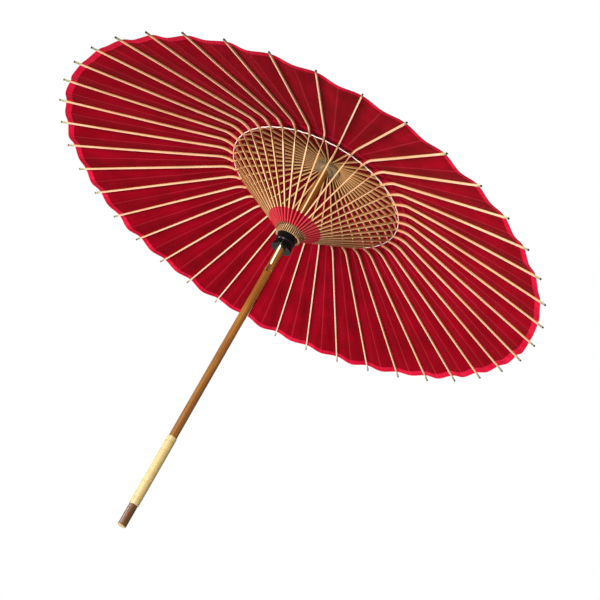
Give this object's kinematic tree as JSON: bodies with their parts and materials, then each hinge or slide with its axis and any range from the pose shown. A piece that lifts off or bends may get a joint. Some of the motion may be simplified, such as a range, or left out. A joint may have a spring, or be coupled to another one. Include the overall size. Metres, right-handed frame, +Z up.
{
  "type": "oil paper umbrella",
  "caption": "Open oil paper umbrella: a red paper cone on many hinged bamboo ribs and struts, with a sliding lacquered runner, a catch and a straight shaft with a rattan grip.",
  "frame": {"origin": "centre of the shaft's lower end face", "axes": "+Z up the shaft to the canopy; -Y is the side that the catch faces"},
  "size_m": [1.0782, 1.0782, 0.896],
  "materials": {
    "band_paper": "red washi strip",
    "black_lacquer": "black lacquer on turned wood, glossy",
    "canopy_paper": "oiled washi paper, deep crimson, faint sheen",
    "cap_paper": "dark oiled paper cap",
    "catch_bamboo": "pale bamboo leaf, planed smooth",
    "collar_paper": "bright red washi strip, pleated",
    "hub_wood": "plain turned wood",
    "peg_bamboo": "bamboo peg",
    "rattan": "pale peeled rattan, wound and polished",
    "rib_bamboo": "split bamboo, skin side up, pale underside",
    "shaft_bamboo": "amber bamboo, oiled, with fine streaks",
    "strut_bamboo": "golden brown split bamboo",
    "thread": "waxed cotton thread, pink white"
  },
  "bodies": {
    "root": {"shaft": "shaft_bamboo", "grip_wrap": "rattan", "top_hub": "hub_wood", "hub_peg": "peg_bamboo", "hub_thread": "thread", "catch_pin": "peg_bamboo", "cap": "cap_paper", "canopy": "canopy_paper", "edge_band": "band_paper", "middle_band": "band_paper", "joint_thread": "thread"},
    "runner": {"runner": "black_lacquer", "runner_thread": "thread", "struts_between": "strut_bamboo", "strut_collar": "collar_paper"},
    "catch": {"catch_leaf": "catch_bamboo"},
    "rib_01": {"rib_01": "rib_bamboo"},
    "rib_02": {"rib_02": "rib_bamboo"},
    "rib_03": {"rib_03": "rib_bamboo"},
    "rib_04": {"rib_04": "rib_bamboo"},
    "rib_05": {"rib_05": "rib_bamboo"},
    "rib_06": {"rib_06": "rib_bamboo"},
    "rib_07": {"rib_07": "rib_bamboo"},
    "rib_08": {"rib_08": "rib_bamboo"},
    "rib_09": {"rib_09": "rib_bamboo"},
    "rib_10": {"rib_10": "rib_bamboo"},
    "rib_11": {"rib_11": "rib_bamboo"},
    "rib_12": {"rib_12": "rib_bamboo"},
    "rib_13": {"rib_13": "rib_bamboo"},
    "rib_14": {"rib_14": "rib_bamboo"},
    "rib_15": {"rib_15": "rib_bamboo"},
    "rib_16": {"rib_16": "rib_bamboo"},
    "rib_17": {"rib_17": "rib_bamboo"},
    "rib_18": {"rib_18": "rib_bamboo"},
    "rib_19": {"rib_19": "rib_bamboo"},
    "rib_20": {"rib_20": "rib_bamboo"},
    "rib_21": {"rib_21": "rib_bamboo"},
    "rib_22": {"rib_22": "rib_bamboo"},
    "rib_23": {"rib_23": "rib_bamboo"},
    "rib_24": {"rib_24": "rib_bamboo"},
    "rib_25": {"rib_25": "rib_bamboo"},
    "rib_26": {"rib_26": "rib_bamboo"},
    "rib_27": {"rib_27": "rib_bamboo"},
    "rib_28": {"rib_28": "rib_bamboo"},
    "rib_29": {"rib_29": "rib_bamboo"},
    "rib_30": {"rib_30": "rib_bamboo"},
    "rib_31": {"rib_31": "rib_bamboo"},
    "rib_32": {"rib_32": "rib_bamboo"},
    "rib_33": {"rib_33": "rib_bamboo"},
    "rib_34": {"rib_34": "rib_bamboo"},
    "rib_35": {"rib_35": "rib_bamboo"},
    "rib_36": {"rib_36": "rib_bamboo"},
    "rib_37": {"rib_37": "rib_bamboo"},
    "rib_38": {"rib_38": "rib_bamboo"},
    "rib_39": {"rib_39": "rib_bamboo"},
    "rib_40": {"rib_40": "rib_bamboo"},
    "strut_01": {"strut_01": "strut_bamboo"},
    "strut_11": {"strut_11": "strut_bamboo"},
    "strut_21": {"strut_21": "strut_bamboo"},
    "strut_31": {"strut_31": "strut_bamboo"}
  },
  "joints": [
    {"name": "runner_slide", "type": "slide", "parent": "root", "child": "runner", "axis": [0, 0, -1], "range_m": [0, 0.19956], "deforming": ["canopy", "edge_band", "middle_band", "joint_thread", "strut_collar", "struts_between", "catch_leaf"]},
    {"name": "catch_press", "type": "hinge", "parent": "root", "child": "catch", "pos_m": [0, -0.003, 0.582], "axis": [-1, 0, 0], "range_deg": [0, 3.6], "stiffness_Nm_per_rad": 0.6, "springref_deg": -2.86},
    {"name": "rib_01_hinge", "type": "hinge", "parent": "root", "child": "rib_01", "pos_m": [0.02393, 0.00188, 0.859], "axis": [-0.0785, 0.9969, 0], "range_deg": [0, 69.28]},
    {"name": "rib_02_hinge", "type": "hinge", "parent": "root", "child": "rib_02", "pos_m": [0.02334, 0.0056, 0.859], "axis": [-0.2334, 0.9724, 0], "range_deg": [0, 69.28]},
    {"name": "rib_03_hinge", "type": "hinge", "parent": "root", "child": "rib_03", "pos_m": [0.02217, 0.00918, 0.859], "axis": [-0.3827, 0.9239, 0], "range_deg": [0, 69.28]},
    {"name": "rib_04_hinge", "type": "hinge", "parent": "root", "child": "rib_04", "pos_m": [0.02046, 0.01254, 0.859], "axis": [-0.5225, 0.8526, 0], "range_deg": [0, 69.28]},
    {"name": "rib_05_hinge", "type": "hinge", "parent": "root", "child": "rib_05", "pos_m": [0.01825, 0.01559, 0.859], "axis": [-0.6494, 0.7604, 0], "range_deg": [0, 69.28]},
    {"name": "rib_06_hinge", "type": "hinge", "parent": "root", "child": "rib_06", "pos_m": [0.01559, 0.01825, 0.859], "axis": [-0.7604, 0.6494, 0], "range_deg": [0, 69.28]},
    {"name": "rib_07_hinge", "type": "hinge", "parent": "root", "child": "rib_07", "pos_m": [0.01254, 0.02046, 0.859], "axis": [-0.8526, 0.5225, 0], "range_deg": [0, 69.28]},
    {"name": "rib_08_hinge", "type": "hinge", "parent": "root", "child": "rib_08", "pos_m": [0.00918, 0.02217, 0.859], "axis": [-0.9239, 0.3827, 0], "range_deg": [0, 69.28]},
    {"name": "rib_09_hinge", "type": "hinge", "parent": "root", "child": "rib_09", "pos_m": [0.0056, 0.02334, 0.859], "axis": [-0.9724, 0.2334, 0], "range_deg": [0, 69.28]},
    {"name": "rib_10_hinge", "type": "hinge", "parent": "root", "child": "rib_10", "pos_m": [0.00188, 0.02393, 0.859], "axis": [-0.9969, 0.0785, 0], "range_deg": [0, 69.28]},
    {"name": "rib_11_hinge", "type": "hinge", "parent": "root", "child": "rib_11", "pos_m": [-0.00188, 0.02393, 0.859], "axis": [-0.9969, -0.0785, 0], "range_deg": [0, 69.28]},
    {"name": "rib_12_hinge", "type": "hinge", "parent": "root", "child": "rib_12", "pos_m": [-0.0056, 0.02334, 0.859], "axis": [-0.9724, -0.2334, 0], "range_deg": [0, 69.28]},
    {"name": "rib_13_hinge", "type": "hinge", "parent": "root", "child": "rib_13", "pos_m": [-0.00918, 0.02217, 0.859], "axis": [-0.9239, -0.3827, 0], "range_deg": [0, 69.28]},
    {"name": "rib_14_hinge", "type": "hinge", "parent": "root", "child": "rib_14", "pos_m": [-0.01254, 0.02046, 0.859], "axis": [-0.8526, -0.5225, 0], "range_deg": [0, 69.28]},
    {"name": "rib_15_hinge", "type": "hinge", "parent": "root", "child": "rib_15", "pos_m": [-0.01559, 0.01825, 0.859], "axis": [-0.7604, -0.6494, 0], "range_deg": [0, 69.28]},
    {"name": "rib_16_hinge", "type": "hinge", "parent": "root", "child": "rib_16", "pos_m": [-0.01825, 0.01559, 0.859], "axis": [-0.6494, -0.7604, 0], "range_deg": [0, 69.28]},
    {"name": "rib_17_hinge", "type": "hinge", "parent": "root", "child": "rib_17", "pos_m": [-0.02046, 0.01254, 0.859], "axis": [-0.5225, -0.8526, 0], "range_deg": [0, 69.28]},
    {"name": "rib_18_hinge", "type": "hinge", "parent": "root", "child": "rib_18", "pos_m": [-0.02217, 0.00918, 0.859], "axis": [-0.3827, -0.9239, 0], "range_deg": [0, 69.28]},
    {"name": "rib_19_hinge", "type": "hinge", "parent": "root", "child": "rib_19", "pos_m": [-0.02334, 0.0056, 0.859], "axis": [-0.2334, -0.9724, 0], "range_deg": [0, 69.28]},
    {"name": "rib_20_hinge", "type": "hinge", "parent": "root", "child": "rib_20", "pos_m": [-0.02393, 0.00188, 0.859], "axis": [-0.0785, -0.9969, 0], "range_deg": [0, 69.28]},
    {"name": "rib_21_hinge", "type": "hinge", "parent": "root", "child": "rib_21", "pos_m": [-0.02393, -0.00188, 0.859], "axis": [0.0785, -0.9969, 0], "range_deg": [0, 69.28]},
    {"name": "rib_22_hinge", "type": "hinge", "parent": "root", "child": "rib_22", "pos_m": [-0.02334, -0.0056, 0.859], "axis": [0.2334, -0.9724, 0], "range_deg": [0, 69.28]},
    {"name": "rib_23_hinge", "type": "hinge", "parent": "root", "child": "rib_23", "pos_m": [-0.02217, -0.00918, 0.859], "axis": [0.3827, -0.9239, 0], "range_deg": [0, 69.28]},
    {"name": "rib_24_hinge", "type": "hinge", "parent": "root", "child": "rib_24", "pos_m": [-0.02046, -0.01254, 0.859], "axis": [0.5225, -0.8526, 0], "range_deg": [0, 69.28]},
    {"name": "rib_25_hinge", "type": "hinge", "parent": "root", "child": "rib_25", "pos_m": [-0.01825, -0.01559, 0.859], "axis": [0.6494, -0.7604, 0], "range_deg": [0, 69.28]},
    {"name": "rib_26_hinge", "type": "hinge", "parent": "root", "child": "rib_26", "pos_m": [-0.01559, -0.01825, 0.859], "axis": [0.7604, -0.6494, 0], "range_deg": [0, 69.28]},
    {"name": "rib_27_hinge", "type": "hinge", "parent": "root", "child": "rib_27", "pos_m": [-0.01254, -0.02046, 0.859], "axis": [0.8526, -0.5225, 0], "range_deg": [0, 69.28]},
    {"name": "rib_28_hinge", "type": "hinge", "parent": "root", "child": "rib_28", "pos_m": [-0.00918, -0.02217, 0.859], "axis": [0.9239, -0.3827, 0], "range_deg": [0, 69.28]},
    {"name": "rib_29_hinge", "type": "hinge", "parent": "root", "child": "rib_29", "pos_m": [-0.0056, -0.02334, 0.859], "axis": [0.9724, -0.2334, 0], "range_deg": [0, 69.28]},
    {"name": "rib_30_hinge", "type": "hinge", "parent": "root", "child": "rib_30", "pos_m": [-0.00188, -0.02393, 0.859], "axis": [0.9969, -0.0785, 0], "range_deg": [0, 69.28]},
    {"name": "rib_31_hinge", "type": "hinge", "parent": "root", "child": "rib_31", "pos_m": [0.00188, -0.02393, 0.859], "axis": [0.9969, 0.0785, 0], "range_deg": [0, 69.28]},
    {"name": "rib_32_hinge", "type": "hinge", "parent": "root", "child": "rib_32", "pos_m": [0.0056, -0.02334, 0.859], "axis": [0.9724, 0.2334, 0], "range_deg": [0, 69.28]},
    {"name": "rib_33_hinge", "type": "hinge", "parent": "root", "child": "rib_33", "pos_m": [0.00918, -0.02217, 0.859], "axis": [0.9239, 0.3827, 0], "range_deg": [0, 69.28]},
    {"name": "rib_34_hinge", "type": "hinge", "parent": "root", "child": "rib_34", "pos_m": [0.01254, -0.02046, 0.859], "axis": [0.8526, 0.5225, 0], "range_deg": [0, 69.28]},
    {"name": "rib_35_hinge", "type": "hinge", "parent": "root", "child": "rib_35", "pos_m": [0.01559, -0.01825, 0.859], "axis": [0.7604, 0.6494, 0], "range_deg": [0, 69.28]},
    {"name": "rib_36_hinge", "type": "hinge", "parent": "root", "child": "rib_36", "pos_m": [0.01825, -0.01559, 0.859], "axis": [0.6494, 0.7604, 0], "range_deg": [0, 69.28]},
    {"name": "rib_37_hinge", "type": "hinge", "parent": "root", "child": "rib_37", "pos_m": [0.02046, -0.01254, 0.859], "axis": [0.5225, 0.8526, 0], "range_deg": [0, 69.28]},
    {"name": "rib_38_hinge", "type": "hinge", "parent": "root", "child": "rib_38", "pos_m": [0.02217, -0.00918, 0.859], "axis": [0.3827, 0.9239, 0], "range_deg": [0, 69.28]},
    {"name": "rib_39_hinge", "type": "hinge", "parent": "root", "child": "rib_39", "pos_m": [0.02334, -0.0056, 0.859], "axis": [0.2334, 0.9724, 0], "range_deg": [0, 69.28]},
    {"name": "rib_40_hinge", "type": "hinge", "parent": "root", "child": "rib_40", "pos_m": [0.02393, -0.00188, 0.859], "axis": [0.0785, 0.9969, 0], "range_deg": [0, 69.28]},
    {"name": "strut_01_hinge", "type": "hinge", "parent": "rib_01", "child": "strut_01", "pos_m": [0.18941, 0.01491, 0.794], "axis": [0.0785, -0.9969, 0], "range_deg": [0, 125.08]},
    {"name": "strut_11_hinge", "type": "hinge", "parent": "rib_11", "child": "strut_11", "pos_m": [-0.01491, 0.18941, 0.794], "axis": [0.9969, 0.0785, 0], "range_deg": [0, 125.08]},
    {"name": "strut_21_hinge", "type": "hinge", "parent": "rib_21", "child": "strut_21", "pos_m": [-0.18941, -0.01491, 0.794], "axis": [-0.0785, 0.9969, 0], "range_deg": [0, 125.08]},
    {"name": "strut_31_hinge", "type": "hinge", "parent": "rib_31", "child": "strut_31", "pos_m": [0.01491, -0.18941, 0.794], "axis": [-0.9969, -0.0785, 0], "range_deg": [0, 125.08]}
  ],
  "couplings": [
    {"joint": "rib_01_hinge", "follows": "runner_slide", "rad_per_m": 6.0578},
    {"joint": "rib_02_hinge", "follows": "runner_slide", "rad_per_m": 6.0578},
    {"joint": "rib_03_hinge", "follows": "runner_slide", "rad_per_m": 6.0578},
    {"joint": "rib_04_hinge", "follows": "runner_slide", "rad_per_m": 6.0578},
    {"joint": "rib_05_hinge", "follows": "runner_slide", "rad_per_m": 6.0578},
    {"joint": "rib_06_hinge", "follows": "runner_slide", "rad_per_m": 6.0578},
    {"joint": "rib_07_hinge", "follows": "runner_slide", "rad_per_m": 6.0578},
    {"joint": "rib_08_hinge", "follows": "runner_slide", "rad_per_m": 6.0578},
    {"joint": "rib_09_hinge", "follows": "runner_slide", "rad_per_m": 6.0578},
    {"joint": "rib_10_hinge", "follows": "runner_slide", "rad_per_m": 6.0578},
    {"joint": "rib_11_hinge", "follows": "runner_slide", "rad_per_m": 6.0578},
    {"joint": "rib_12_hinge", "follows": "runner_slide", "rad_per_m": 6.0578},
    {"joint": "rib_13_hinge", "follows": "runner_slide", "rad_per_m": 6.0578},
    {"joint": "rib_14_hinge", "follows": "runner_slide", "rad_per_m": 6.0578},
    {"joint": "rib_15_hinge", "follows": "runner_slide", "rad_per_m": 6.0578},
    {"joint": "rib_16_hinge", "follows": "runner_slide", "rad_per_m": 6.0578},
    {"joint": "rib_17_hinge", "follows": "runner_slide", "rad_per_m": 6.0578},
    {"joint": "rib_18_hinge", "follows": "runner_slide", "rad_per_m": 6.0578},
    {"joint": "rib_19_hinge", "follows": "runner_slide", "rad_per_m": 6.0578},
    {"joint": "rib_20_hinge", "follows": "runner_slide", "rad_per_m": 6.0578},
    {"joint": "rib_21_hinge", "follows": "runner_slide", "rad_per_m": 6.0578},
    {"joint": "rib_22_hinge", "follows": "runner_slide", "rad_per_m": 6.0578},
    {"joint": "rib_23_hinge", "follows": "runner_slide", "rad_per_m": 6.0578},
    {"joint": "rib_24_hinge", "follows": "runner_slide", "rad_per_m": 6.0578},
    {"joint": "rib_25_hinge", "follows": "runner_slide", "rad_per_m": 6.0578},
    {"joint": "rib_26_hinge", "follows": "runner_slide", "rad_per_m": 6.0578},
    {"joint": "rib_27_hinge", "follows": "runner_slide", "rad_per_m": 6.0578},
    {"joint": "rib_28_hinge", "follows": "runner_slide", "rad_per_m": 6.0578},
    {"joint": "rib_29_hinge", "follows": "runner_slide", "rad_per_m": 6.0578},
    {"joint": "rib_30_hinge", "follows": "runner_slide", "rad_per_m": 6.0578},
    {"joint": "rib_31_hinge", "follows": "runner_slide", "rad_per_m": 6.0578},
    {"joint": "rib_32_hinge", "follows": "runner_slide", "rad_per_m": 6.0578},
    {"joint": "rib_33_hinge", "follows": "runner_slide", "rad_per_m": 6.0578},
    {"joint": "rib_34_hinge", "follows": "runner_slide", "rad_per_m": 6.0578},
    {"joint": "rib_35_hinge", "follows": "runner_slide", "rad_per_m": 6.0578},
    {"joint": "rib_36_hinge", "follows": "runner_slide", "rad_per_m": 6.0578},
    {"joint": "rib_37_hinge", "follows": "runner_slide", "rad_per_m": 6.0578},
    {"joint": "rib_38_hinge", "follows": "runner_slide", "rad_per_m": 6.0578},
    {"joint": "rib_39_hinge", "follows": "runner_slide", "rad_per_m": 6.0578},
    {"joint": "rib_40_hinge", "follows": "runner_slide", "rad_per_m": 6.0578},
    {"joint": "strut_01_hinge", "follows": "runner_slide", "rad_per_m": 10.938},
    {"joint": "strut_11_hinge", "follows": "runner_slide", "rad_per_m": 10.938},
    {"joint": "strut_21_hinge", "follows": "runner_slide", "rad_per_m": 10.938},
    {"joint": "strut_31_hinge", "follows": "runner_slide", "rad_per_m": 10.938}
  ]
}
